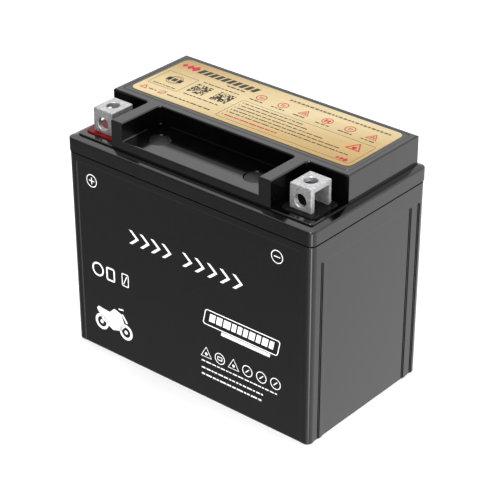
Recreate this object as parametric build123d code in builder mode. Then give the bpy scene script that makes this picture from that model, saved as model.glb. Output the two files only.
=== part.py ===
from build123d import *
import math
import os

# Sealed six-cell motorcycle battery, millimetres, +Z up.
# Origin: bottom centre of the case. X runs along the length, the positive terminal is
# towards -X and the negative towards +X. The front face and the terminals face -Y.

# Heights
case_height = 105.4          # outer shoulder of the case, just under the lid skirt
tongue_top = 109.5           # sealing tongue and cell walls, where the lid sits
skirt_bottom = 106.1         # lid skirt, leaving a fine seam over the case
lid_underside = 110.9
ledge_top = 113.9            # narrow sloping ledge round the raised part of the lid
pocket_floor = 114.9
tray_floor = 119.4
block_top = 128.8
label_thickness = 0.2
overlap = 0.5                # how far one block of a body is sunk into the next
slack = 0.2                  # tolerance when edges are picked by their place

# Case
case_foot_length = 148.6
case_foot_depth = 84.6
case_top_length = 149.7
case_corner = 3.0
case_floor = 3.0
front_panel_length = 138.6
front_panel_top = 101.8
panel_recess = 0.5           # front and back
end_recess = 0.8
recess_round = 0.24
recess_corner = 1.2
foot_round = 0.8
rim_round = 0.2              # rounding of the outer edges on both sides of the seam
side_recess_top = 95.5
below_foot = 4.0             # how far the recess cuts run past the foot
side_rib_inner = 32.0        # ribs and corner strips on the end faces, from the middle
side_rib_outer = 34.2
side_strip_inner = 38.6

# Cells
cell_count = 6
cell_wall = 1.8
cell_length = 22.27
cell_depth = 78.8
cell_corner = 1.2
cell_pitch = cell_length + cell_wall
cavity_length = cell_count * cell_length + (cell_count - 1) * cell_wall
tongue_wall = 1.75
tongue_corner = 1.6

# Lid
lid_length = 150.0
lid_depth = 86.0
lid_corner = 3.2
skirt_gap = 0.1
ledge_fall = 0.9             # the ledge slopes down by this over its width
ledge_slope_width = 3.1
shoulder_round = 0.9
block_length = 143.0
block_front = -39.3
block_back = 39.5
block_corner = 2.5
platform_front = -13.2
partition_inner = 41.4
partition_outer = 48.3
partition_corner = 1.0
pocket_corner = 2.0          # upright hollow corners of the tray and the pockets
top_round = 0.8
tray_edge_round = 0.8
pocket_edge_round = 0.6

# Vent cover, chamber and label on the platform
cover_length = 138.0
cover_front = -10.0
cover_back = 37.4
cover_corner = 2.5
cover_thickness = 2.2
cover_gap = 0.1
cover_chamfer = 0.25
cover_landing = 2.2
chamber_corner = 1.5
label_length = 133.0
label_depth = 42.8
label_middle = 14.3
label_corner = 3.6

# Relief valves, one per cell
valve_row = 13.7
chimney_radius = 5.0
chimney_bore = 2.6
chimney_top = 120.5
cap_radius = 6.4
cap_clearance = 0.05
cap_skirt_bottom = 116.4
cap_top = 122.0
cap_lift = 0.6
cap_round = 0.6
stop_radius = 4.0

# Terminals and their pockets
terminal_x = 60.0
terminal_y = -25.7
terminal_width = 12.4
terminal_depth = 14.6
terminal_top = 127.7
terminal_leg = 2.2
terminal_web = 2.2
terminal_foot = 114.8        # top of the post's head, which the bracket stands on
terminal_edge = 0.6
bolt_hole = 3.2
bolt_hole_chamfer = 0.3
bolt_height = 120.4
seal_width = 19.0
seal_depth = 19.6
seal_corner = 2.6
seal_gap = 0.05
seal_y = -26.0
seal_top = 115.7
seal_round = 0.5
nut_channel_floor = 115.3    # epoxy between the bracket's legs and out to the end
well_floor = 113.0
post_radius = 4.2
post_clearance = 0.2
collar_radius = 5.6          # where the post grows out of its strap
collar_height = 1.6
ring_seat = 110.6
ring_middle_radius = 5.15
ring_thickness = 0.85
ring_clearance = 0.1
boss_radius = 8.0
boss_bottom = 107.6

# Vent discs in the tray floor
vent_x = 29.2
vent_y = -26.5
vent_disc_radius = 5.5
vent_disc_thickness = 1.5
vent_disc_depth = 0.35       # the disc lies this far below the tray floor
vent_disc_fit = 0.05
vent_disc_chamfer = 0.2
vent_seat_chamfer = 0.45
vent_seat_land = 1.5
vent_room = 0.8              # hollow under the disc
vent_channel = 0.6
vent_channel_height = 116.9

# Headroom moulded out under the tray
core_length = 19.0
core_depth = 21.4
core_top = 115.4

# Plates, separators and straps
plate_depth = 74.0
positive_count = 4
positive_thickness = 1.9
negative_thickness = 1.3
plate_gap = 0.96
mat_thickness = 0.92
mat_depth = 77.0
mat_top = 89.4
positive_bottom = 4.0
negative_bottom = 3.2
plate_top = 86.0
lug_width = 9.0
strap_bottom = 91.0
strap_top = 95.0
strap_width = 12.0
strap_row = 25.7
joint_thickness = 2.6
joint_top = 105.0
joint_reach = 11.1
weld_radius = 3.0
weld_gap = 0.05
weld_height = 100.0
strap_corner = 1.0
wrap_gap = 0.04

cell_centres = [(n - (cell_count - 1) / 2) * cell_pitch for n in range(cell_count)]
draft = math.atan((case_top_length - case_foot_length) / 2 / case_height)

os.makedirs("parts", exist_ok=True)


def save(piece, name):
    piece.label = name
    export_step(piece, f"parts/{name}.step")


# Case: drafted container with six cells and a sealing tongue round the rim
front_face = Plane(
    origin=(0, -case_foot_depth / 2, 0),
    x_dir=(1, 0, 0),
    z_dir=(0, -math.cos(draft), -math.sin(draft)),
)
back_face = Plane(
    origin=(0, case_foot_depth / 2, 0),
    x_dir=(-1, 0, 0),
    z_dir=(0, math.cos(draft), -math.sin(draft)),
)
right_face = Plane(
    origin=(case_foot_length / 2, 0, 0),
    x_dir=(0, 1, 0),
    z_dir=(math.cos(draft), 0, -math.sin(draft)),
)
left_face = Plane(
    origin=(-case_foot_length / 2, 0, 0),
    x_dir=(0, -1, 0),
    z_dir=(-math.cos(draft), 0, -math.sin(draft)),
)


def recess_edges(part, face, depth, half_width, top):
    """Edges of the recesses in a face that lie at the given depth under it."""
    chosen = []
    for edge in part.edges():
        place = face.to_local_coords(edge.center())
        at_depth = abs(place.Z + depth) < slack
        inside = abs(place.X) < half_width + slack and foot_round < place.Y < top + slack
        if at_depth and inside:
            chosen.append(edge)
    return chosen


with BuildPart() as case_envelope:
    with BuildSketch(Plane.XY):
        RectangleRounded(case_foot_length, case_foot_depth, case_corner)
    extrude(amount=case_height, taper=-math.degrees(draft))
    fillet(case_envelope.edges().group_by(Axis.Z)[0], foot_round)
    fillet(case_envelope.edges().group_by(Axis.Z)[-1], rim_round)

front_height = front_panel_top + below_foot
front_centre = (front_panel_top - below_foot) / 2
side_height = side_recess_top + below_foot
side_centre = (side_recess_top - below_foot) / 2
narrow_width = side_strip_inner - side_rib_outer
narrow_middle = (side_strip_inner + side_rib_outer) / 2

with BuildPart() as case:
    with BuildSketch(Plane.XY):
        RectangleRounded(case_foot_length, case_foot_depth, case_corner)
    extrude(amount=case_height, taper=-math.degrees(draft))

    # Shallow recesses: one panel at the front and back, a panel and two grooves at each end
    for face in (front_face, back_face):
        with BuildSketch(face):
            with Locations((0, front_centre)):
                RectangleRounded(front_panel_length, front_height, recess_corner)
        extrude(amount=-panel_recess, mode=Mode.SUBTRACT)
    for face in (right_face, left_face):
        with BuildSketch(face):
            with Locations((0, side_centre)):
                RectangleRounded(2 * side_rib_inner, side_height, recess_corner)
            with Locations((-narrow_middle, side_centre), (narrow_middle, side_centre)):
                RectangleRounded(narrow_width, side_height, recess_corner)
        extrude(amount=-end_recess, mode=Mode.SUBTRACT)
    for face in (right_face, left_face):
        for depth in (0, end_recess):
            edges_to_round = recess_edges(case.part, face, depth, side_strip_inner, side_recess_top)
            fillet(edges_to_round, recess_round)
    for face in (front_face, back_face):
        for depth in (0, panel_recess):
            edges_to_round = recess_edges(
                case.part, face, depth, front_panel_length / 2, front_panel_top
            )
            fillet(edges_to_round, recess_round)
    add(case_envelope.part, mode=Mode.INTERSECT)

    # Sealing tongue, cells and the holes for the welds between them
    with BuildSketch(Plane.XY.offset(case_height)):
        RectangleRounded(
            cavity_length + 2 * tongue_wall,
            cell_depth + 2 * tongue_wall,
            tongue_corner,
        )
    extrude(amount=tongue_top - case_height)
    with BuildSketch(Plane.XY.offset(case_floor)):
        with Locations([(x, 0) for x in cell_centres]):
            RectangleRounded(cell_length, cell_depth, cell_corner)
    extrude(amount=tongue_top, mode=Mode.SUBTRACT)
    for n in range(cell_count - 1):
        wall_x = (cell_centres[n] + cell_centres[n + 1]) / 2
        row_y = strap_row if n % 2 == 0 else -strap_row
        with BuildSketch(Plane.YZ.offset(wall_x)):
            with Locations((row_y, weld_height)):
                Circle(weld_radius + weld_gap)
        extrude(amount=cell_wall, both=True, mode=Mode.SUBTRACT)

save(case.part, "case")

# Lid: skirt, ledge, platform, partitions, tray and terminal pockets
block_middle = (block_front + block_back) / 2
block_depth = block_back - block_front
front_middle = (block_front + platform_front) / 2
front_depth = platform_front - block_front
half_block = block_length / 2
cover_middle = (cover_front + cover_back) / 2
cover_depth = cover_back - cover_front
chamber_front = cover_front + cover_landing

with BuildPart() as lid:
    # Skirt, rounded shoulder and sloping ledge
    with BuildSketch(Plane.XY.offset(skirt_bottom)):
        RectangleRounded(lid_length, lid_depth, lid_corner)
    extrude(amount=ledge_top - skirt_bottom)
    fillet(lid.edges().group_by(Axis.Z)[0], rim_round)
    ledge_face = lid.faces().sort_by(Axis.Z)[-1]
    chamfer(ledge_face.edges(), ledge_slope_width, ledge_fall, reference=ledge_face)
    shoulder_height = ledge_top - ledge_fall
    shoulder_edges = lid.edges().filter_by_position(Axis.Z, shoulder_height, shoulder_height)
    fillet(shoulder_edges, shoulder_round)

    # Terminal pocket floors
    with BuildSketch(Plane.XY.offset(ledge_top - overlap)):
        with Locations((0, block_middle)):
            RectangleRounded(block_length, block_depth, block_corner)
    extrude(amount=pocket_floor - ledge_top + overlap)

    # Raised platform with the two partitions
    with BuildSketch(Plane.XY.offset(ledge_top - overlap)) as raised:
        with BuildLine():
            Polyline(
                (-half_block, block_back),
                (-half_block, platform_front),
                (-partition_outer, platform_front),
                (-partition_outer, block_front),
                (-partition_inner, block_front),
                (-partition_inner, platform_front),
                (partition_inner, platform_front),
                (partition_inner, block_front),
                (partition_outer, block_front),
                (partition_outer, platform_front),
                (half_block, platform_front),
                (half_block, block_back),
                close=True,
            )
        make_face()
        wall_corners = raised.vertices().filter_by_position(Axis.Y, platform_front, platform_front)
        hollow_corners = wall_corners.filter_by_position(Axis.X, -partition_outer, partition_outer)
        outer_corners = [corner for corner in wall_corners if abs(corner.X) > half_block - slack]
        back_corners = raised.vertices().group_by(Axis.Y)[-1]
        front_corners = raised.vertices().group_by(Axis.Y)[0]
        fillet(hollow_corners, pocket_corner)
        fillet(outer_corners + front_corners, partition_corner)
        fillet(back_corners, block_corner)
    extrude(amount=block_top - ledge_top + overlap)

    # Raised tray floor between the partitions
    with BuildSketch(Plane.XY.offset(ledge_top - overlap)):
        with Locations((0, front_middle + overlap / 2)):
            Rectangle(2 * partition_inner + 2 * overlap, front_depth + overlap)
    extrude(amount=tray_floor - ledge_top + overlap)

    # Rounded edges of the raised parts
    fillet(lid.edges().group_by(Axis.Z)[-1], top_round)
    tray_edges = lid.edges().filter_by_position(Axis.Z, tray_floor, tray_floor)
    fillet(tray_edges.sort_by(Axis.Y)[0], tray_edge_round)
    pocket_edges = lid.edges().filter_by_position(Axis.Z, pocket_floor, pocket_floor)
    rim_edges = [
        edge
        for edge in pocket_edges
        if edge.center().Y < block_front + slack or abs(edge.center().X) > half_block - slack
    ]
    fillet(rim_edges, pocket_edge_round)

    # Joint with the case: groove for the tongue and headroom over each cell
    with BuildSketch(Plane.XY.offset(skirt_bottom)):
        RectangleRounded(
            cavity_length + 2 * (tongue_wall + skirt_gap),
            cell_depth + 2 * (tongue_wall + skirt_gap),
            tongue_corner + skirt_gap,
        )
    extrude(amount=tongue_top - skirt_bottom, mode=Mode.SUBTRACT)
    with BuildSketch(Plane.XY.offset(tongue_top)):
        with Locations([(x, 0) for x in cell_centres]):
            RectangleRounded(cell_length, cell_depth, cell_corner)
    extrude(amount=lid_underside - tongue_top, mode=Mode.SUBTRACT)

    # Moulded-out headroom under the tray
    with BuildSketch(Plane.XY.offset(lid_underside)):
        with Locations([(x, front_middle) for x in cell_centres[1:-1]]):
            Rectangle(core_length, core_depth)
    extrude(amount=core_top - lid_underside, mode=Mode.SUBTRACT)

    # Valve chamber in the platform, with a landing for its cover
    with BuildSketch(Plane.XY.offset(block_top - cover_thickness)):
        with Locations((0, cover_middle)):
            RectangleRounded(cover_length, cover_depth, cover_corner)
    extrude(amount=cover_thickness, mode=Mode.SUBTRACT)
    with BuildSketch(Plane.XY.offset(ledge_top)):
        with Locations((0, cover_middle)):
            RectangleRounded(
                cover_length - 2 * cover_landing,
                cover_depth - 2 * cover_landing,
                chamber_corner,
            )
    extrude(amount=block_top - ledge_top - cover_thickness, mode=Mode.SUBTRACT)
    with BuildSketch(Plane.XY.offset(ledge_top - overlap)):
        with Locations([(x, valve_row) for x in cell_centres]):
            Circle(chimney_radius)
    extrude(amount=chimney_top - ledge_top + overlap)
    with BuildSketch(Plane.XY.offset(lid_underside)):
        with Locations([(x, valve_row) for x in cell_centres]):
            Circle(chimney_bore)
    extrude(amount=chimney_top - lid_underside, mode=Mode.SUBTRACT)

    # Chamfered seats for the two vent discs, each with a channel to the valve chamber
    disc_bottom = tray_floor - vent_disc_depth - vent_disc_thickness
    vent_places = [(-vent_x, vent_y), (vent_x, vent_y)]
    with BuildSketch(Plane.XY.offset(disc_bottom)):
        with Locations(vent_places):
            Circle(vent_disc_radius + vent_disc_fit)
    extrude(amount=tray_floor - disc_bottom, mode=Mode.SUBTRACT)
    floor_edges = lid.edges().filter_by_position(Axis.Z, tray_floor, tray_floor)
    chamfer(floor_edges.filter_by(GeomType.CIRCLE), vent_seat_chamfer)
    with BuildSketch(Plane.XY.offset(disc_bottom - vent_room)):
        with Locations(vent_places):
            Circle(vent_disc_radius - vent_seat_land)
    extrude(amount=vent_room, mode=Mode.SUBTRACT)
    with BuildSketch(Plane.XZ.offset(-vent_y)):
        with Locations((-vent_x, vent_channel_height), (vent_x, vent_channel_height)):
            Circle(vent_channel)
    extrude(amount=-(chamber_front - vent_y), mode=Mode.SUBTRACT)

    # Terminal wells, post bosses and ring seats
    with BuildSketch(Plane.XY.offset(boss_bottom)):
        with Locations((-terminal_x, terminal_y), (terminal_x, terminal_y)):
            Circle(boss_radius)
    extrude(amount=lid_underside - boss_bottom)
    with BuildSketch(Plane.XY.offset(well_floor)):
        with Locations((-terminal_x, seal_y), (terminal_x, seal_y)):
            RectangleRounded(seal_width, seal_depth, seal_corner)
    extrude(amount=pocket_floor - well_floor, mode=Mode.SUBTRACT)
    with BuildSketch(Plane.XY.offset(ring_seat)):
        with Locations((-terminal_x, terminal_y), (terminal_x, terminal_y)):
            Circle(ring_middle_radius + ring_thickness + ring_clearance)
    extrude(amount=well_floor - ring_seat, mode=Mode.SUBTRACT)
    with BuildSketch(Plane.XY.offset(boss_bottom)):
        with Locations((-terminal_x, terminal_y), (terminal_x, terminal_y)):
            Circle(post_radius + post_clearance)
    extrude(amount=ring_seat - boss_bottom, mode=Mode.SUBTRACT)

save(lid.part, "lid")

# Vent cover: plate let into the platform, with a stop over each relief valve
with BuildPart() as vent_cover:
    with BuildSketch(Plane.XY.offset(block_top - cover_thickness)):
        with Locations((0, cover_middle)):
            RectangleRounded(
                cover_length - 2 * cover_gap,
                cover_depth - 2 * cover_gap,
                cover_corner - cover_gap,
            )
    extrude(amount=cover_thickness)
    chamfer(vent_cover.edges().group_by(Axis.Z)[-1], cover_chamfer)
    with BuildSketch(Plane.XY.offset(cap_top + cap_lift)):
        with Locations([(x, valve_row) for x in cell_centres]):
            Circle(stop_radius)
    extrude(amount=block_top - cover_thickness - cap_top - cap_lift)

save(vent_cover.part, "vent_cover")

# Foil label on the cover
with BuildPart() as top_label:
    with BuildSketch(Plane.XY.offset(block_top)):
        with Locations((0, label_middle)):
            RectangleRounded(label_length, label_depth, label_corner)
    extrude(amount=label_thickness)

save(top_label.part, "top_label")

# Relief-valve caps: one rubber cap over each chimney
for n, x in enumerate(cell_centres):
    with BuildPart() as valve_cap:
        with BuildSketch(Plane.XY.offset(cap_skirt_bottom)):
            with Locations((x, valve_row)):
                Circle(cap_radius)
        extrude(amount=cap_top - cap_skirt_bottom)
        fillet(valve_cap.edges().group_by(Axis.Z)[-1], cap_round)
        with BuildSketch(Plane.XY.offset(cap_skirt_bottom)):
            with Locations((x, valve_row)):
                Circle(chimney_radius + cap_clearance)
        extrude(amount=chimney_top - cap_skirt_bottom, mode=Mode.SUBTRACT)
    save(valve_cap.part, f"valve_cap_{n + 1}")

# Vent discs: porous discs let into the tray floor
for x, side in ((-vent_x, "left"), (vent_x, "right")):
    with BuildPart() as vent_disc:
        with BuildSketch(Plane.XY.offset(disc_bottom)):
            with Locations((x, vent_y)):
                Circle(vent_disc_radius)
        extrude(amount=vent_disc_thickness)
        chamfer(vent_disc.edges().group_by(Axis.Z)[-1], vent_disc_chamfer)
    save(vent_disc.part, f"vent_disc_{side}")

# Terminals, their epoxy seals, posts and rings
slot_depth = terminal_depth - 2 * terminal_leg
slot_top = terminal_top - terminal_web

for x, sign in ((-terminal_x, "positive"), (terminal_x, "negative")):
    # Cast lead bracket: an inverted U, open towards both ends of the battery
    with BuildPart() as terminal:
        with BuildSketch(Plane.XY.offset(terminal_foot)):
            with Locations((x, terminal_y)):
                RectangleRounded(terminal_width, terminal_depth, terminal_edge)
        extrude(amount=terminal_top - terminal_foot)
        fillet(terminal.edges().group_by(Axis.Z)[-1], terminal_edge)
        with BuildSketch(Plane.YZ.offset(x)):
            with Locations((terminal_y, (terminal_foot + slot_top) / 2)):
                Rectangle(slot_depth, slot_top - terminal_foot)
        extrude(amount=terminal_width, both=True, mode=Mode.SUBTRACT)
        with BuildSketch(Plane.XZ.offset(-terminal_y)):
            with Locations((x, bolt_height)):
                Circle(bolt_hole)
        extrude(amount=terminal_depth, mode=Mode.SUBTRACT)
        with BuildSketch(Plane.XY.offset(slot_top)):
            with Locations((x, terminal_y)):
                Circle(bolt_hole)
        extrude(amount=terminal_web, mode=Mode.SUBTRACT)
        rings = terminal.edges().filter_by(GeomType.CIRCLE)
        hole_rims = [rings.sort_by(Axis.Y)[0], rings.sort_by(Axis.Z)[-1]]
        chamfer(hole_rims, bolt_hole_chamfer)
    save(terminal.part, f"{sign}_terminal")

    # Lead post from the end cell, with a square head under the bracket
    with BuildPart() as post:
        with BuildSketch(Plane.XY.offset(strap_top)):
            with Locations((x, terminal_y)):
                Circle(post_radius)
        extrude(amount=well_floor - strap_top)
        with BuildSketch(Plane.XY.offset(strap_top)):
            with Locations((x, terminal_y)):
                Circle(collar_radius)
        extrude(amount=collar_height)
        with BuildSketch(Plane.XY.offset(well_floor)):
            with Locations((x, terminal_y)):
                RectangleRounded(terminal_width, terminal_depth, terminal_edge)
        extrude(amount=terminal_foot - well_floor)
    save(post.part, f"{sign}_post")

    # Epoxy pad round the foot of the terminal, with a channel for the nut between the
    # bracket's legs that runs out towards the end of the battery
    with BuildPart() as terminal_seal:
        with BuildSketch(Plane.XY.offset(well_floor)):
            with Locations((x, seal_y)):
                RectangleRounded(
                    seal_width - 2 * seal_gap,
                    seal_depth - 2 * seal_gap,
                    seal_corner - seal_gap,
                )
        extrude(amount=seal_top - well_floor)
        fillet(terminal_seal.edges().group_by(Axis.Z)[-1], seal_round)
        channel_x = x + math.copysign((seal_width - terminal_width) / 2, x)
        with BuildSketch(Plane.XY.offset(nut_channel_floor)):
            with Locations((channel_x, terminal_y)):
                Rectangle(seal_width, slot_depth)
        extrude(amount=seal_top - nut_channel_floor, mode=Mode.SUBTRACT)
        add(terminal.part, mode=Mode.SUBTRACT)
        add(post.part, mode=Mode.SUBTRACT)
    save(terminal_seal.part, f"{sign}_terminal_seal")

    # Rubber ring in its seat round the post
    with BuildPart() as post_ring:
        with Locations((x, terminal_y, ring_seat + ring_thickness)):
            Torus(ring_middle_radius, ring_thickness)
    save(post_ring.part, f"{sign}_post_ring")

# Cells: plates, glass-mat separators and cast straps
pair_pitch = positive_thickness + negative_thickness + 2 * plate_gap
stack_length = positive_count * pair_pitch + negative_thickness
first_positive = negative_thickness + plate_gap + positive_thickness / 2
wrap_width = positive_thickness + 2 * plate_gap - wrap_gap


def plate_group(centre, positions, thickness, bottom, row):
    with BuildPart() as group:
        for position in positions:
            with BuildSketch(Plane.YZ.offset(centre - stack_length / 2 + position)):
                with Locations((0, (bottom + plate_top) / 2)):
                    Rectangle(plate_depth, plate_top - bottom)
                with Locations((row, (plate_top - overlap + strap_bottom) / 2)):
                    Rectangle(lug_width, strap_bottom - plate_top + overlap)
            extrude(amount=thickness / 2, both=True)
    return group.part


def cell_strap(centre, row, joint_side):
    with BuildPart() as strap:
        with BuildSketch(Plane.XY.offset(strap_bottom)):
            with Locations((centre, row)):
                RectangleRounded(stack_length, strap_width, strap_corner)
        extrude(amount=strap_top - strap_bottom)
        if joint_side != 0:
            joint_x = centre + joint_side * (joint_reach - joint_thickness / 2)
            with BuildSketch(Plane.XY.offset(strap_bottom)):
                with Locations((joint_x, row)):
                    Rectangle(joint_thickness, strap_width)
            extrude(amount=joint_top - strap_bottom)
    return strap.part


positive_positions = [first_positive + k * pair_pitch for k in range(positive_count)]
negative_positions = [negative_thickness / 2 + k * pair_pitch for k in range(positive_count + 1)]

for n, centre in enumerate(cell_centres):
    front_positive = n % 2 == 0
    positive_row = -strap_row if front_positive else strap_row
    negative_row = -positive_row
    positive_joint = 0 if n == 0 else -1
    negative_joint = 0 if n == cell_count - 1 else 1
    number = n + 1

    positive_plates = plate_group(
        centre, positive_positions, positive_thickness, positive_bottom, positive_row
    )
    save(positive_plates, f"cell_{number}_positive_plates")
    negative_plates = plate_group(
        centre, negative_positions, negative_thickness, negative_bottom, negative_row
    )
    save(negative_plates, f"cell_{number}_negative_plates")

    with BuildPart() as separators:
        for position in positive_positions:
            wrap_x = centre - stack_length / 2 + position
            inner_width = wrap_width - 2 * mat_thickness
            inner_height = mat_top - positive_bottom
            with BuildSketch(Plane.XZ):
                with Locations((wrap_x, (case_floor + mat_top) / 2)):
                    Rectangle(wrap_width, mat_top - case_floor)
                with Locations((wrap_x, (positive_bottom + mat_top) / 2)):
                    Rectangle(inner_width, inner_height, mode=Mode.SUBTRACT)
            extrude(amount=mat_depth / 2, both=True)
    save(separators.part, f"cell_{number}_separators")

    save(cell_strap(centre, positive_row, positive_joint), f"cell_{number}_positive_strap")
    save(cell_strap(centre, negative_row, negative_joint), f"cell_{number}_negative_strap")

# Welds through the case walls, joining each negative strap to the next positive one
with BuildPart() as intercell_welds:
    for n in range(cell_count - 1):
        wall_x = (cell_centres[n] + cell_centres[n + 1]) / 2
        row_y = strap_row if n % 2 == 0 else -strap_row
        with BuildSketch(Plane.YZ.offset(wall_x)):
            with Locations((row_y, weld_height)):
                Circle(weld_radius)
        extrude(amount=cell_pitch / 2 - joint_reach, both=True)

save(intercell_welds.part, "intercell_welds")
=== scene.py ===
"""Looks of the sealed motorcycle battery: materials, printed marks, studio and camera."""

import math
import random

import bmesh
import bpy
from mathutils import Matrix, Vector
from mathutils.bvhtree import BVHTree


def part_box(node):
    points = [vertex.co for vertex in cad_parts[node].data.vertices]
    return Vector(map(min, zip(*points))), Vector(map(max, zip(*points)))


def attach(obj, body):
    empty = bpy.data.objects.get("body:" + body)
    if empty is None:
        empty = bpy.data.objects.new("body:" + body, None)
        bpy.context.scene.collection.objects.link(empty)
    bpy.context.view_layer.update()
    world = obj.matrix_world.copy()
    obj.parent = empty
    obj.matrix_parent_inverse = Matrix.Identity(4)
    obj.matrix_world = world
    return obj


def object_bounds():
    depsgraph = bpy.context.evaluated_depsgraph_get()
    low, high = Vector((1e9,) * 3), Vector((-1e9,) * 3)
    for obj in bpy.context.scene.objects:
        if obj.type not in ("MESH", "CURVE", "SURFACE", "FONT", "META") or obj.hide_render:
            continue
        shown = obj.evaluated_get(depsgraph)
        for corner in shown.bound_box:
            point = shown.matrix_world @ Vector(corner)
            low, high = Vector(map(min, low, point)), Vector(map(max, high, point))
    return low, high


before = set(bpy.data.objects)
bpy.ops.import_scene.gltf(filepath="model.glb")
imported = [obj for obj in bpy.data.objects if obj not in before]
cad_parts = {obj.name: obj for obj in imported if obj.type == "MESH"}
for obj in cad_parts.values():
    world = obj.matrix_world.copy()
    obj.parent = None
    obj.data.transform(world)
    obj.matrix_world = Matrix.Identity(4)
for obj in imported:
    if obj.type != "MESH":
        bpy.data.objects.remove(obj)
cad_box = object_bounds()

MM = 0.001


# ------------------------------------------------------------ shader nodes
def add_node(tree, kind, inputs=None, **settings):
    """A new node; an input is given either a socket to link from or a plain value."""
    node = tree.nodes.new(kind)
    for key, value in settings.items():
        setattr(node, key, value)
    for key, value in (inputs or {}).items():
        if isinstance(value, bpy.types.NodeSocket):
            tree.links.new(value, node.inputs[key])
        else:
            node.inputs[key].default_value = value
    return node


def add_ramp(tree, value, stops):
    """A colour ramp through (position, colour) stops."""
    node = add_node(tree, "ShaderNodeValToRGB", {0: value})
    elements = node.color_ramp.elements
    while len(elements) < len(stops):
        elements.new(0.5)
    for element, (position, colour) in zip(elements, stops):
        element.position = position
        element.color = (*colour, 1.0)
    return node.outputs[0]


def grey(value, tint=1.0):
    """A grey whose blue is multiplied by tint."""
    return (value, value, value * tint)


# ---------------------------------------------------------------- materials
# Where painted shade darkens the reflections in the lid's tray and pockets, fading from glossy to
# dark: start and end, in metres
PAINTED_SHADE_FROM_Y = (-0.0318, -0.0288)
PAINTED_SHADE_TO_Y = (-0.0129, -0.0127)
PAINTED_SHADE_FROM_Z = (0.1142, 0.1146)
PAINTED_SHADE_TO_Z = (0.1276, 0.1282)
# Specular level of the open plastic, and the lower one that paints shade into the tray and pockets
GLOSSY_LEVEL = 0.5
PAINTED_SHADE_LEVEL = 0.05

# The painted sheen on the foil, a highlight painted into its colour: how far its bands lean, and
# where the first and the last one lie
PAINTED_SHEEN_LEAN = -0.38
PAINTED_SHEEN_SPAN = (-0.031, 0.059)

PIT_DEPTH = 0.05             # pits in cast lead, mm


class Surface:
    """A Principled material whose colour, roughness and relief come from procedural nodes."""

    def __init__(self, name, **sockets):
        self.material = bpy.data.materials.new(name)
        self.material.use_nodes = True
        self.tree = self.material.node_tree
        self.shader = self.tree.nodes["Principled BSDF"]
        self.place = self.tree.nodes.new("ShaderNodeTexCoord").outputs["Object"]
        self.normal = None
        for socket, value in sockets.items():
            self.shader.inputs[socket.replace("_", " ")].default_value = value

    def new(self, kind, inputs=None, **settings):
        return add_node(self.tree, kind, inputs, **settings)

    def stretched(self, factors):
        """The place on the surface with each axis scaled by its factor."""
        inputs = {0: self.place, 1: factors}
        return self.new("ShaderNodeVectorMath", inputs, operation="MULTIPLY").outputs[0]

    def noise(self, size_mm, detail=2.0, rough=0.5, factors=None):
        """Noise whose blobs are about size_mm across; factors squeeze it along an axis."""
        place = self.stretched(factors) if factors else self.place
        inputs = {"Vector": place, "Scale": 1 / (size_mm * MM), "Detail": detail, "Roughness": rough}
        return self.new("ShaderNodeTexNoise", inputs).outputs["Fac"]

    def cells(self, size_mm):
        """Distance to the nearest of scattered points about size_mm apart."""
        inputs = {"Vector": self.place, "Scale": 1 / (size_mm * MM)}
        return self.new("ShaderNodeTexVoronoi", inputs).outputs["Distance"]

    def between(self, value, low, high, start=0.0, end=1.0):
        """A value that runs from start to end, mapped to run from low to high."""
        inputs = {0: value, 1: start, 2: end, 3: low, 4: high}
        return self.new("ShaderNodeMapRange", inputs).outputs[0]

    def ramp(self, value, stops):
        return add_ramp(self.tree, value, stops)

    def multiply(self, first, second):
        """Two colours multiplied."""
        inputs = {0: 1.0, 6: first, 7: second}
        return self.new("ShaderNodeMix", inputs, data_type="RGBA", blend_type="MULTIPLY").outputs[2]

    def product(self, first, *others):
        """Numbers multiplied."""
        for other in others:
            first = self.new("ShaderNodeMath", {0: first, 1: other}, operation="MULTIPLY").outputs[0]
        return first

    def colour(self, socket):
        self.tree.links.new(socket, self.shader.inputs["Base Color"])

    def roughness(self, socket):
        self.tree.links.new(socket, self.shader.inputs["Roughness"])

    def specular_level(self, socket):
        self.tree.links.new(socket, self.shader.inputs["Specular IOR Level"])

    def bump(self, height, depth_mm):
        """Relief on top of any that is already there."""
        inputs = {"Strength": 1.0, "Distance": depth_mm * MM, "Height": height}
        if self.normal:
            inputs["Normal"] = self.normal
        self.normal = self.new("ShaderNodeBump", inputs).outputs[0]
        self.tree.links.new(self.normal, self.shader.inputs["Normal"])


def moulded_plastic(name, dark, light, low_rough, high_rough):
    """Moulded plastic: fine spark-eroded grain, faint sink waviness, uneven gloss, and painted shade
    that dims the reflections in the tray and pockets.
    """
    surface = Surface(name, IOR=1.5)
    surface.colour(surface.ramp(surface.noise(9, 4), [(0.3, grey(dark)), (0.7, grey(light, 1.04))]))
    surface.roughness(surface.between(surface.noise(14, 5, 0.6), low_rough, high_rough, 0.3, 0.7))
    surface.bump(surface.noise(26, 1), 0.02)
    surface.bump(surface.noise(0.32, 3, 0.6), 0.0004)

    # Painted shade: the tray and the pockets reflect less towards their back, standing in for the
    # shade there
    axes = surface.new("ShaderNodeSeparateXYZ", {0: surface.place}).outputs
    behind_rim = surface.between(axes[1], 0.0, 1.0, *PAINTED_SHADE_FROM_Y)
    before_wall = surface.between(axes[1], 1.0, 0.0, *PAINTED_SHADE_TO_Y)
    below_top = surface.between(axes[2], 1.0, 0.0, *PAINTED_SHADE_TO_Z)
    above_ledge = surface.between(axes[2], 0.0, 1.0, *PAINTED_SHADE_FROM_Z)
    painted_shade = surface.product(behind_rim, before_wall, below_top, above_ledge)
    surface.specular_level(surface.between(painted_shade, GLOSSY_LEVEL, PAINTED_SHADE_LEVEL))
    return surface.material


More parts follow.
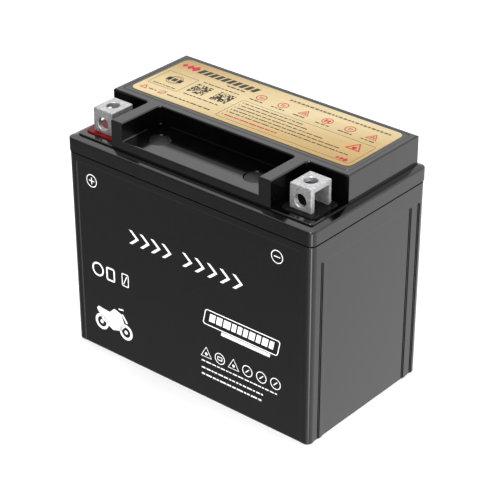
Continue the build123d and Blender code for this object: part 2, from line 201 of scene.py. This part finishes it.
def brushed_foil(name):
    """Gold foil: a broad diagonal painted sheen from cream to old gold, with fine brushing along X.
    """
    surface = Surface(name, Metallic=0.35, IOR=1.5)
    axes = surface.new("ShaderNodeSeparateXYZ", {0: surface.place}).outputs
    inputs = {0: axes[0], 1: PAINTED_SHEEN_LEAN, 2: axes[1]}
    across = surface.new("ShaderNodeMath", inputs, operation="MULTIPLY_ADD").outputs[0]
    band = surface.between(across, 0.0, 1.0, *PAINTED_SHEEN_SPAN)
    # Painted sheen: the colour brightens to cream in a diagonal band and darkens to old gold towards
    # the front and the back, a highlight painted into the colour
    gold = surface.ramp(
        band,
        [
            (0.0, (0.37, 0.225, 0.055)),
            (0.25, (0.435, 0.295, 0.10)),
            (0.54, (0.57, 0.455, 0.245)),
            (0.72, (0.53, 0.405, 0.195)),
            (1.0, (0.345, 0.20, 0.045)),
        ],
    )
    fine = surface.noise(0.55, 3, 0.6, (0.025, 1.0, 1.0))
    broad = surface.noise(3.0, 3, 0.6, (0.03, 1.0, 1.0))
    streaks = surface.ramp(fine, [(0.25, grey(0.86)), (0.75, grey(1.0))])
    bands = surface.ramp(broad, [(0.3, grey(0.93)), (0.7, grey(1.0))])
    surface.colour(surface.multiply(surface.multiply(gold, streaks), bands))
    surface.roughness(surface.between(fine, 0.34, 0.48, 0.3, 0.7))
    surface.bump(fine, 0.002)
    return surface.material


def cast_metal(name, dark, light, low_rough, high_rough):
    """Cast lead: mottled oxide patches over a lightly pitted skin."""
    surface = Surface(name, Metallic=0.75)
    tones = [(0.36, grey(dark, 1.02)), (0.64, grey(light, 1.01))]
    patches = surface.ramp(surface.noise(2.2, 5, 0.66), tones)
    specks = surface.ramp(surface.noise(0.9, 4, 0.72), [(0.30, grey(0.58)), (0.58, grey(1.0))])
    surface.colour(surface.multiply(patches, specks))
    surface.roughness(surface.between(surface.noise(1.2, 4), low_rough, high_rough, 0.3, 0.7))
    surface.bump(surface.noise(2.2, 3), PIT_DEPTH)
    surface.bump(surface.noise(0.45, 3, 0.65), PIT_DEPTH * 0.3)
    return surface.material


def cast_resin(name, deep, bright):
    """Poured epoxy: deep colour, uneven gloss and a slightly lumpy skin."""
    surface = Surface(name, IOR=1.5, Specular_IOR_Level=0.08)
    surface.colour(surface.ramp(surface.noise(3.5, 3), [(0.3, deep), (0.7, bright)]))
    surface.roughness(surface.between(surface.noise(2.0, 3), 0.18, 0.34, 0.3, 0.7))
    surface.bump(surface.noise(3.0, 2), 0.18)
    surface.bump(surface.noise(0.6, 2), 0.012)
    return surface.material


def pasted_plate(name, dark, light):
    """Active paste on a grid: grainy, with the grid's ribs just telegraphing through."""
    surface = Surface(name)
    surface.colour(surface.ramp(surface.noise(0.8, 5, 0.7), [(0.3, dark), (0.7, light)]))
    surface.roughness(surface.between(surface.noise(1.5, 3), 0.75, 0.95))
    surface.bump(surface.noise(0.25, 4, 0.7), 0.04)
    surface.bump(surface.noise(4.0, 1, 0.5, (1.0, 0.6, 1.0)), 0.05)
    return surface.material


def fibre_mat(name):
    """Absorbent glass mat: white felted fibres."""
    surface = Surface(name)
    fibres = surface.noise(0.5, 5, 0.7, (1.0, 0.25, 1.0))
    surface.colour(surface.ramp(fibres, [(0.3, grey(0.66)), (0.7, grey(0.84))]))
    surface.roughness(surface.between(surface.noise(1.0, 2), 0.85, 0.97))
    surface.bump(surface.noise(0.3, 4, 0.7, (1.0, 0.2, 1.0)), 0.06)
    return surface.material


def sintered_disc(name):
    """Porous plastic: dark sintered grains."""
    surface = Surface(name, IOR=1.5, Specular_IOR_Level=0.13)
    grains = surface.cells(0.35)
    surface.colour(surface.ramp(grains, [(0.1, grey(0.011)), (0.6, grey(0.006))]))
    surface.roughness(surface.between(surface.noise(4, 3), 0.22, 0.32, 0.3, 0.7))
    surface.bump(grains, 0.0012)
    return surface.material


def moulded_rubber(name, dark, light):
    """Matt rubber with a fine bloom."""
    surface = Surface(name, IOR=1.52)
    surface.colour(surface.ramp(surface.noise(2.0, 4), [(0.3, grey(dark)), (0.7, grey(light, 1.05))]))
    surface.roughness(surface.between(surface.noise(1.2, 3), 0.5, 0.68))
    surface.bump(surface.noise(0.25, 3), 0.006)
    return surface.material


def printing_ink(name, thin, full):
    """Screen-printed ink: slightly uneven density over the surface's grain."""
    surface = Surface(name, IOR=1.45, Specular_IOR_Level=0.2)
    surface.colour(surface.ramp(surface.noise(1.4, 4, 0.6), [(0.3, thin), (0.6, full)]))
    surface.roughness(surface.between(surface.noise(0.8, 3), 0.42, 0.58))
    surface.bump(surface.noise(0.3, 2), 0.002)
    return surface.material


looks = {
    "black_abs": moulded_plastic("black_abs_look", 0.0009, 0.0015, 0.09, 0.13),
    "gold_foil": brushed_foil("gold_foil_look"),
    "terminal_lead": cast_metal("terminal_lead_look", 0.34, 0.50, 0.38, 0.52),
    "cast_lead": cast_metal("cast_lead_look", 0.24, 0.38, 0.45, 0.6),
    "positive_plate": pasted_plate("positive_plate_look", (0.05, 0.024, 0.016), (0.09, 0.045, 0.03)),
    "negative_plate": pasted_plate("negative_plate_look", grey(0.16, 1.04), grey(0.27, 1.04)),
    "glass_mat": fibre_mat("glass_mat_look"),
    "red_epoxy": cast_resin("red_epoxy_look", (0.09, 0.002, 0.002), (0.16, 0.004, 0.004)),
    "black_epoxy": cast_resin("black_epoxy_look", grey(0.005), grey(0.009)),
    "porous_plastic": sintered_disc("porous_plastic_look"),
    "seal_rubber": moulded_rubber("seal_rubber_look", 0.012, 0.02),
    "valve_rubber": moulded_rubber("valve_rubber_look", 0.016, 0.026),
}
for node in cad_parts.values():
    for material_slot in node.material_slots:
        material_slot.material = looks[material_slot.material.name]

white_ink = printing_ink("white_ink", grey(0.80), grey(0.90))
black_ink = printing_ink("black_ink", (0.020, 0.017, 0.013), (0.012, 0.010, 0.008))
grey_ink = printing_ink("grey_ink", (0.13, 0.10, 0.065), (0.10, 0.075, 0.05))
red_ink = printing_ink("red_ink", (0.44, 0.008, 0.03), (0.38, 0.003, 0.02))


# ------------------------------------------------------------ printed marks
INK_GAP = 0.01               # the ink's underside and top over the surface, mm
INK_TOP = 0.05
CORNER_STEPS = 5
TURN_STEPS = 40
SMALLEST_CORNER = 0.05
TRIANGLE_CORNER = 0.12
SHORTEST_WORD = 1.2
WORD_GAPS = (0.5, 0.8)


class Print:
    """Flat shapes of one ink, in millimetres on a surface, gathered into one thin piece.

    lay(u, v, height) turns a place on the surface, and a height above it, into a point.
    """

    def __init__(self, name, ink, lay):
        self.name = name
        self.ink = ink
        self.lay = lay
        self.mesh = bmesh.new()

    def points(self, outline, height):
        return [self.mesh.verts.new(self.lay(u, v, height)) for u, v in outline]

    def patch(self, outline):
        """A filled shape, its outline running anticlockwise."""
        bottom = self.points(outline, INK_GAP)
        top = self.points(outline, INK_TOP)
        self.mesh.faces.new(top)
        self.mesh.faces.new(reversed(bottom))
        for n in range(len(outline)):
            m = (n + 1) % len(outline)
            self.mesh.faces.new((bottom[n], bottom[m], top[m], top[n]))

    def band(self, outer, inner):
        """The strip between two outlines with as many points each."""
        edges = ((outer, INK_GAP), (outer, INK_TOP), (inner, INK_TOP), (inner, INK_GAP))
        rows = [self.points(outline, height) for outline, height in edges]
        for n in range(len(outer)):
            m = (n + 1) % len(outer)
            for k, row in enumerate(rows):
                following = rows[(k + 1) % len(rows)]
                self.mesh.faces.new((row[n], row[m], following[m], following[n]))

    def finish(self):
        """Turn the gathered shapes into a piece that moves with the battery."""
        bmesh.ops.recalc_face_normals(self.mesh, faces=self.mesh.faces)
        data = bpy.data.meshes.new(self.name)
        self.mesh.to_mesh(data)
        self.mesh.free()
        data.materials.append(self.ink)
        piece = bpy.data.objects.new(self.name, data)
        bpy.context.scene.collection.objects.link(piece)
        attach(piece, "battery")

    # Shapes
    def bar(self, start, end, width):
        """A straight stroke between two points."""
        start, end = Vector(start), Vector(end)
        along = end - start
        side = Vector((-along.y, along.x)).normalized() * width / 2
        self.patch([start - side, end - side, end + side, start + side])

    def block(self, left, low, width, height, lean=0.0):
        """A block that leans to the right by lean times its height."""
        right, high, shift = left + width, low + height, lean * height
        self.patch([(left, low), (right, low), (right + shift, high), (left + shift, high)])

    def disc(self, centre, radius):
        self.patch(round_outline(centre, radius))

    def ring(self, centre, radius, width):
        self.band(round_outline(centre, radius), round_outline(centre, radius - width))

    def rounded_frame(self, left, low, right, high, corner, width, lean=0.0):
        """An open frame, leaning to the right by lean times its height."""
        box = (left, low, right, high)
        smaller = (left + width, low + width, right - width, high - width)
        outer = box_outline(box, corner, lean, low)
        inner = box_outline(smaller, max(corner - width, SMALLEST_CORNER), lean, low)
        self.band(outer, inner)

    def triangle(self, centre, radius, width):
        """An open triangle; radius reaches from its centre to a corner."""
        outer = triangle_outline(centre, radius, TRIANGLE_CORNER)
        inner = triangle_outline(centre, radius - 2 * width, TRIANGLE_CORNER * 0.6)
        self.band(outer, inner)

    def diamond(self, centre, half_width):
        u, v = centre
        half_height = half_width * 1.3
        sides = [(-half_width, 0), (0, -half_height), (half_width, 0), (0, half_height)]
        self.patch([(u + right, v + up) for right, up in sides])

    def words(self, start, end, middle, height, seed, longest):
        """A row of dashes in place of a line of small text."""
        chance = random.Random(seed)
        place = start
        while place < end - WORD_GAPS[1]:
            length = min(chance.uniform(SHORTEST_WORD, longest), end - place)
            self.block(place, middle - height / 2, length, height)
            place += length + chance.uniform(*WORD_GAPS)


def round_outline(centre, radius):
    u, v = centre
    turns = [2 * math.pi * n / TURN_STEPS for n in range(TURN_STEPS)]
    return [(u + radius * math.cos(turn), v + radius * math.sin(turn)) for turn in turns]


def box_outline(box, corner, lean, base):
    """A rounded box, leaning to the right by lean for each millimetre above its base."""
    left, low, right, high = box
    outline = []
    centres = (
        (right - corner, low + corner),
        (right - corner, high - corner),
        (left + corner, high - corner),
        (left + corner, low + corner),
    )
    for n, (u, v) in enumerate(centres):
        for k in range(CORNER_STEPS + 1):
            turn = math.pi / 2 * (n - 1 + k / CORNER_STEPS)
            height = v + corner * math.sin(turn)
            outline.append((u + corner * math.cos(turn) + lean * (height - base), height))
    return outline


def triangle_outline(centre, radius, corner):
    """An upright triangle with rounded corners."""
    outline = []
    for n in range(3):
        aim = math.pi / 2 + n * 2 * math.pi / 3
        u = centre[0] + (radius - 2 * corner) * math.cos(aim)
        v = centre[1] + (radius - 2 * corner) * math.sin(aim)
        for k in range(CORNER_STEPS + 1):
            turn = aim - math.pi / 3 + 2 * math.pi / 3 * k / CORNER_STEPS
            outline.append((u + corner * math.cos(turn), v + corner * math.sin(turn)))
    return outline


# The recessed front panel is drafted, so the marks follow its slope
LOW_HEIGHT = 0.02
HIGH_HEIGHT = 0.09

case_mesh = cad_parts["case"].data
case_points = [v.co for v in case_mesh.vertices]
case_tree = BVHTree.FromPolygons(case_points, [p.vertices for p in case_mesh.polygons])
outside = cad_box[0].y - 0.05


def panel_y(height):
    """How far forward the front panel lies at a height."""
    return case_tree.ray_cast(Vector((0, outside, height)), Vector((0, 1, 0)))[0].y


panel_slope = (panel_y(HIGH_HEIGHT) - panel_y(LOW_HEIGHT)) / (HIGH_HEIGHT - LOW_HEIGHT)
label_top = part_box("top_label")[1].z


def on_front(u, v, height):
    y = panel_y(LOW_HEIGHT) + panel_slope * (v * MM - LOW_HEIGHT)
    return Vector((u * MM, y - height * MM, v * MM))


def on_label(u, v, height):
    return Vector((u * MM, v * MM, label_top + height * MM))


# Front: polarity marks, a plus and a minus in rings
sign_half = 1.8
sign_stroke = 0.44
arm = sign_half - sign_stroke / 2
marks = Print("polarity_marks", white_ink, on_front)
for u, v, positive in ((-60.0, 93.8, True), (54.7, 94.2, False)):
    marks.ring((u, v), 3.4, 0.38)
    marks.block(u - sign_half, v - sign_stroke / 2, 2 * sign_half, sign_stroke)
    if positive:
        marks.block(u - sign_stroke / 2, v + sign_stroke / 2, sign_stroke, arm)
        marks.block(u - sign_stroke / 2, v - sign_half, sign_stroke, arm)
marks.finish()

# Front: plain devices in white
front = Print("front_print_white", white_ink, on_front)

# Two groups of plain chevrons across the middle
row_low = 68.2
row_high = 75.6
row_middle = (row_low + row_high) / 2
stroke = 1.9
reach = 4.4
for left, count, pitch in ((-36.4, 4, 7.0), (-2.4, 5, 7.7)):
    for n in range(count):
        tail = left + n * pitch
        tip = tail + reach
        low_arm = [(tail, row_low), (tail + stroke, row_low), (tip + stroke, row_middle)]
        high_arm = [(tail + stroke, row_high), (tail, row_high), (tip, row_middle)]
        front.patch(low_arm + high_arm)

# A plain ring, a plain frame and a frame with a slanted bar at the left
front.ring((-58.6, 45.4), 3.9, 0.95)
front.rounded_frame(-53.0, 41.6, -47.2, 49.2, 1.2, 0.95)
front.rounded_frame(-42.6, 42.2, -38.0, 49.4, 0.8, 0.5)
front.bar((-41.4, 43.4), (-39.2, 48.2), 0.5)

# A plain two-wheeler: wheels, body, fork and handlebar
for wheel in ((-57.6, 15.6), (-41.2, 15.6)):
    front.ring(wheel, 4.4, 1.5)
    front.disc(wheel, 1.1)
body_outline = [
    (-57.0, 17.0),
    (-50.0, 13.6),
    (-44.6, 15.2),
    (-41.6, 18.6),
    (-44.2, 25.0),
    (-48.6, 26.4),
    (-52.0, 23.2),
    (-59.6, 24.0),
    (-60.6, 22.4),
]
front.patch(body_outline)
front.bar((-43.4, 25.2), (-40.2, 21.0), 1.1)
front.bar((-45.6, 27.4), (-42.4, 27.9), 0.8)

# A slanted frame with a row of blocks in it and a bar under it
lean = 0.22
front.rounded_frame(9.6, 41.6, 55.2, 50.4, 1.6, 0.5, lean)
chance = random.Random(7)
left = 13.6
while left < 52.0:
    width = chance.choice((2.6, 3.4, 3.4, 4.2))
    front.block(left, 44.2, width, 4.4, lean)
    left += width + 0.9
front.block(21.0, 39.2, 29.5, 2.0, lean)

# Six plain signs, with three rows of dashes below
for n, kind in enumerate(("triangle", "ring", "triangle", "ring", "ring", "ring")):
    u, v = 11.6 + n * 8.5, 25.6 + n * 0.1
    if kind == "triangle":
        front.triangle((u, v - 0.5), 4.0, 0.28)
        front.disc((u, v - 0.6), 0.8)
    else:
        front.ring((u, v), 3.1, 0.42)
        if n == 1:
            front.rounded_frame(u - 1.5, v - 1.1, u + 1.5, v + 1.1, 0.3, 0.4)
        else:
            front.bar((u - 1.1, v - 1.1), (u + 1.1, v + 1.1), 0.5)
front.words(8.6, 55.0, 20.6, 0.65, 11, 3.4)
front.words(8.6, 46.6, 16.6, 0.75, 12, 3.4)
front.words(8.6, 45.6, 13.1, 0.85, 13, 4.4)
front.finish()

# Label: black, grey and red ink
bold = Print("label_print_black", black_ink, on_label)
fine = Print("label_print_grey", grey_ink, on_label)
red = Print("label_print_red", red_ink, on_label)

# Diamonds and slanted bars along the back
for n in range(3):
    red.diamond((-62.6 + n * 3.6, 29.0), 1.5 + 0.45 * n)
for n in range(10):
    bold.block(-52.6 + n * 3.75, 26.2, 2.5, 4.6, 0.25)
bold.words(-31.0, -20.0, 23.9, 0.9, 21, 4.0)

# A framed emblem of two rings and three blocks, with two signs in front of it
emblem = (-55.0, 12.6)
fine.rounded_frame(-64.4, 2.9, -45.4, 19.8, 0.6, 0.22)
fine.ring(emblem, 4.4, 0.35)
fine.ring(emblem, 3.4, 0.3)
for n in range(3):
    bold.block(-59.6 + n * 3.3, 11.0, 2.6, 3.2)
bold.words(-62.0, -48.0, 4.9, 0.6, 22, 3.6)
red.triangle((-61.4, -2.3), 2.6, 0.5)
bold.words(-58.4, -53.6, -2.2, 0.7, 23, 3.0)
red.bar((-51.9, -3.6), (-48.4, 0.0), 0.4)
red.ring((-50.15, -1.8), 1.9, 0.3)
bold.words(-46.6, -19.6, -2.2, 0.8, 24, 5.0)

# Two squares of random speckles between rows of dashes
square = 9.6
speckles = 13
pitch = square / speckles
speckle = pitch * 0.96
bold.words(-42.4, -20.0, 19.7, 0.65, 25, 4.0)
bold.words(-41.8, -20.0, 4.2, 0.65, 26, 4.0)
for seed, centre in ((31, -38.0), (32, -23.6)):
    chance = random.Random(seed)
    for i in range(speckles):
        for j in range(speckles):
            if chance.random() < 0.56:
                bold.block(centre - square / 2 + i * pitch, 7.2 + j * pitch, speckle, speckle)

# A heading of dashes over six signs, each with a caption
fine.words(2.6, 63.0, 31.0, 1.3, 41, 2.4)
for n, kind in enumerate(("ring", "ring", "triangle", "disc", "ring", "triangle")):
    u, v = -9.4 + n * 13.3, 24.0
    if kind == "triangle":
        red.triangle((u, v - 0.5), 3.6, 0.4)
        red.bar((u - 0.9, v - 1.2), (u + 0.2, v + 0.9), 0.6)
        red.bar((u + 0.5, v - 1.2), (u + 0.9, v), 0.6)
    elif kind == "disc":
        red.ring((u, v), 2.9, 0.45)
        red.block(u - 1.5, v - 1.3, 1.2, 2.6)
        red.block(u + 0.3, v - 1.3, 1.2, 2.6)
    else:
        red.ring((u, v), 2.8, 0.45)
        red.bar((u - 1.3, v + 0.5), (u + 1.3, v + 0.5), 0.45)
        red.bar((u - 1.0, v - 0.7), (u + 1.0, v - 0.7), 0.45)
    bold.words(u - 4.0, u + 4.0, 19.7, 0.7, 50 + n, 3.4)

# A framed list with a warning triangle, and small diamonds in its corner
fine.rounded_frame(-14.6, -4.4, 64.6, 16.4, 1.2, 0.2)
for n, end in enumerate((24.6, 28.6, 40.0, 53.0, 60.4)):
    v = 13.8 - n * 2.9
    bold.disc((-12.4, v), 0.35)
    bold.words(-11.2, end, v, 0.62, 60 + n, 5.4)
red.disc((-12.4, -1.2), 0.35)
red.words(-11.2, 20.4, -1.2, 0.8, 70, 5.4)
red.triangle((57.0, 10.2), 4.8, 0.65)
red.disc((57.0, 9.8), 1.2)
for n in range(3):
    red.diamond((56.6 + n * 2.2, -2.4), 0.9 + 0.25 * n)
bold.finish()
fine.finish()
red.finish()


# ------------------------------------------------------------------- studio
FLOOR_HALF = 6.0
WORLD_STRENGTH = 2.0
BRIGHT_SIDE = (0.75, 0.62, -0.2)
GLOW = [(0.13, 0.18), (0.30, 0.38), (0.45, 0.70), (0.965, 0.82)]
LOBES = [((0.67, -0.56, -0.49), 10, 2.4), ((-0.50, 0.15, 0.85), 42, 0.65)]
LOBE_CORE = 0.45             # share of a lobe's half width that is at full strength

low, high = cad_box
middle = (low + high) / 2

floor_mesh = bpy.data.meshes.new("floor")
floor_sides = ((-1, -1), (1, -1), (1, 1), (-1, 1))
floor_corners = [(x * FLOOR_HALF, y * FLOOR_HALF, low.z) for x, y in floor_sides]
floor_mesh.from_pydata(floor_corners, [], [(0, 1, 2, 3)])
floor = bpy.data.objects.new("floor", floor_mesh)
bpy.context.scene.collection.objects.link(floor)
paper = Surface("studio_paper", IOR=1.4)
paper.colour(paper.ramp(paper.noise(60, 4), [(0.2, grey(0.955)), (0.8, grey(0.975))]))
paper.roughness(paper.between(paper.noise(5, 2), 0.8, 0.95))
floor_mesh.materials.append(paper.material)
floor.visible_glossy = False
floor.visible_shadow = False

world = bpy.data.worlds.new("studio")
world.use_nodes = True
bpy.context.scene.world = world
sky = world.node_tree
background = sky.nodes["Background"]
background.inputs["Strength"].default_value = WORLD_STRENGTH
looking = add_node(sky, "ShaderNodeTexCoord").outputs["Generated"]


def facing(towards):
    """Cosine of the angle between the view direction and a given one."""
    inputs = {0: looking, 1: Vector(towards).normalized()}
    return add_node(sky, "ShaderNodeVectorMath", inputs, operation="DOT_PRODUCT").outputs["Value"]


def lobe(towards, half_width, strength):
    """A soft round patch of light in one direction, half_width degrees to its foot."""
    edge = math.cos(math.radians(half_width))
    core = math.cos(math.radians(half_width * LOBE_CORE))
    inputs = {0: facing(towards), 1: edge, 2: core, 3: 0.0, 4: strength}
    return add_node(sky, "ShaderNodeMapRange", inputs, interpolation_type="SMOOTHSTEP").outputs[0]


# A broad glow that grows towards one side, with two lobes on top of it
inputs = {0: facing(BRIGHT_SIDE), 1: -1.0, 2: 1.0}
spread = add_node(sky, "ShaderNodeMapRange", inputs).outputs[0]
total = add_ramp(sky, spread, [(position, grey(value)) for position, value in GLOW])
for towards, half_width, strength in LOBES:
    inputs = {0: total, 1: lobe(towards, half_width, strength)}
    total = add_node(sky, "ShaderNodeMath", inputs, operation="ADD").outputs[0]
sky.links.new(total, background.inputs["Color"])


def softbox(name, direction, distance, size, power, glossy=True, diffuse=True):
    """A round area light that faces the battery from one direction, in metres and watts."""
    data = bpy.data.lights.new(name, "AREA")
    data.shape = "DISK"
    data.size = size
    data.energy = power
    light = bpy.data.objects.new(name, data)
    light.location = middle + Vector(direction).normalized() * distance
    light.rotation_mode = "QUATERNION"
    light.rotation_quaternion = Vector(direction).to_track_quat("Z", "Y")
    light.visible_glossy = glossy
    light.visible_diffuse = diffuse
    bpy.context.scene.collection.objects.link(light)


softbox("corner_light", (0.22, -0.50, 0.84), 1.1, 0.42, 9.0, diffuse=False)
softbox("print_light", (0.35, -0.85, 0.55), 1.6, 1.2, 18.0, glossy=False)

# ------------------------------------------------------------------- camera
SENSOR_MM = 36.0
LENS_MM = 134.6
CAMERA_PLACE = (0.5089, -0.6014, 0.5069)
CAMERA_AIM = (-0.5594, 0.6656, -0.4940)

camera_data = bpy.data.cameras.new("camera")
camera_data.sensor_width = SENSOR_MM
camera_data.lens = LENS_MM
camera = bpy.data.objects.new("camera", camera_data)
camera.location = CAMERA_PLACE
camera.rotation_mode = "QUATERNION"
camera.rotation_quaternion = Vector(CAMERA_AIM).to_track_quat("-Z", "Y")
bpy.context.scene.collection.objects.link(camera)
bpy.context.scene.camera = camera
bpy.context.scene.view_settings.view_transform = "Standard"
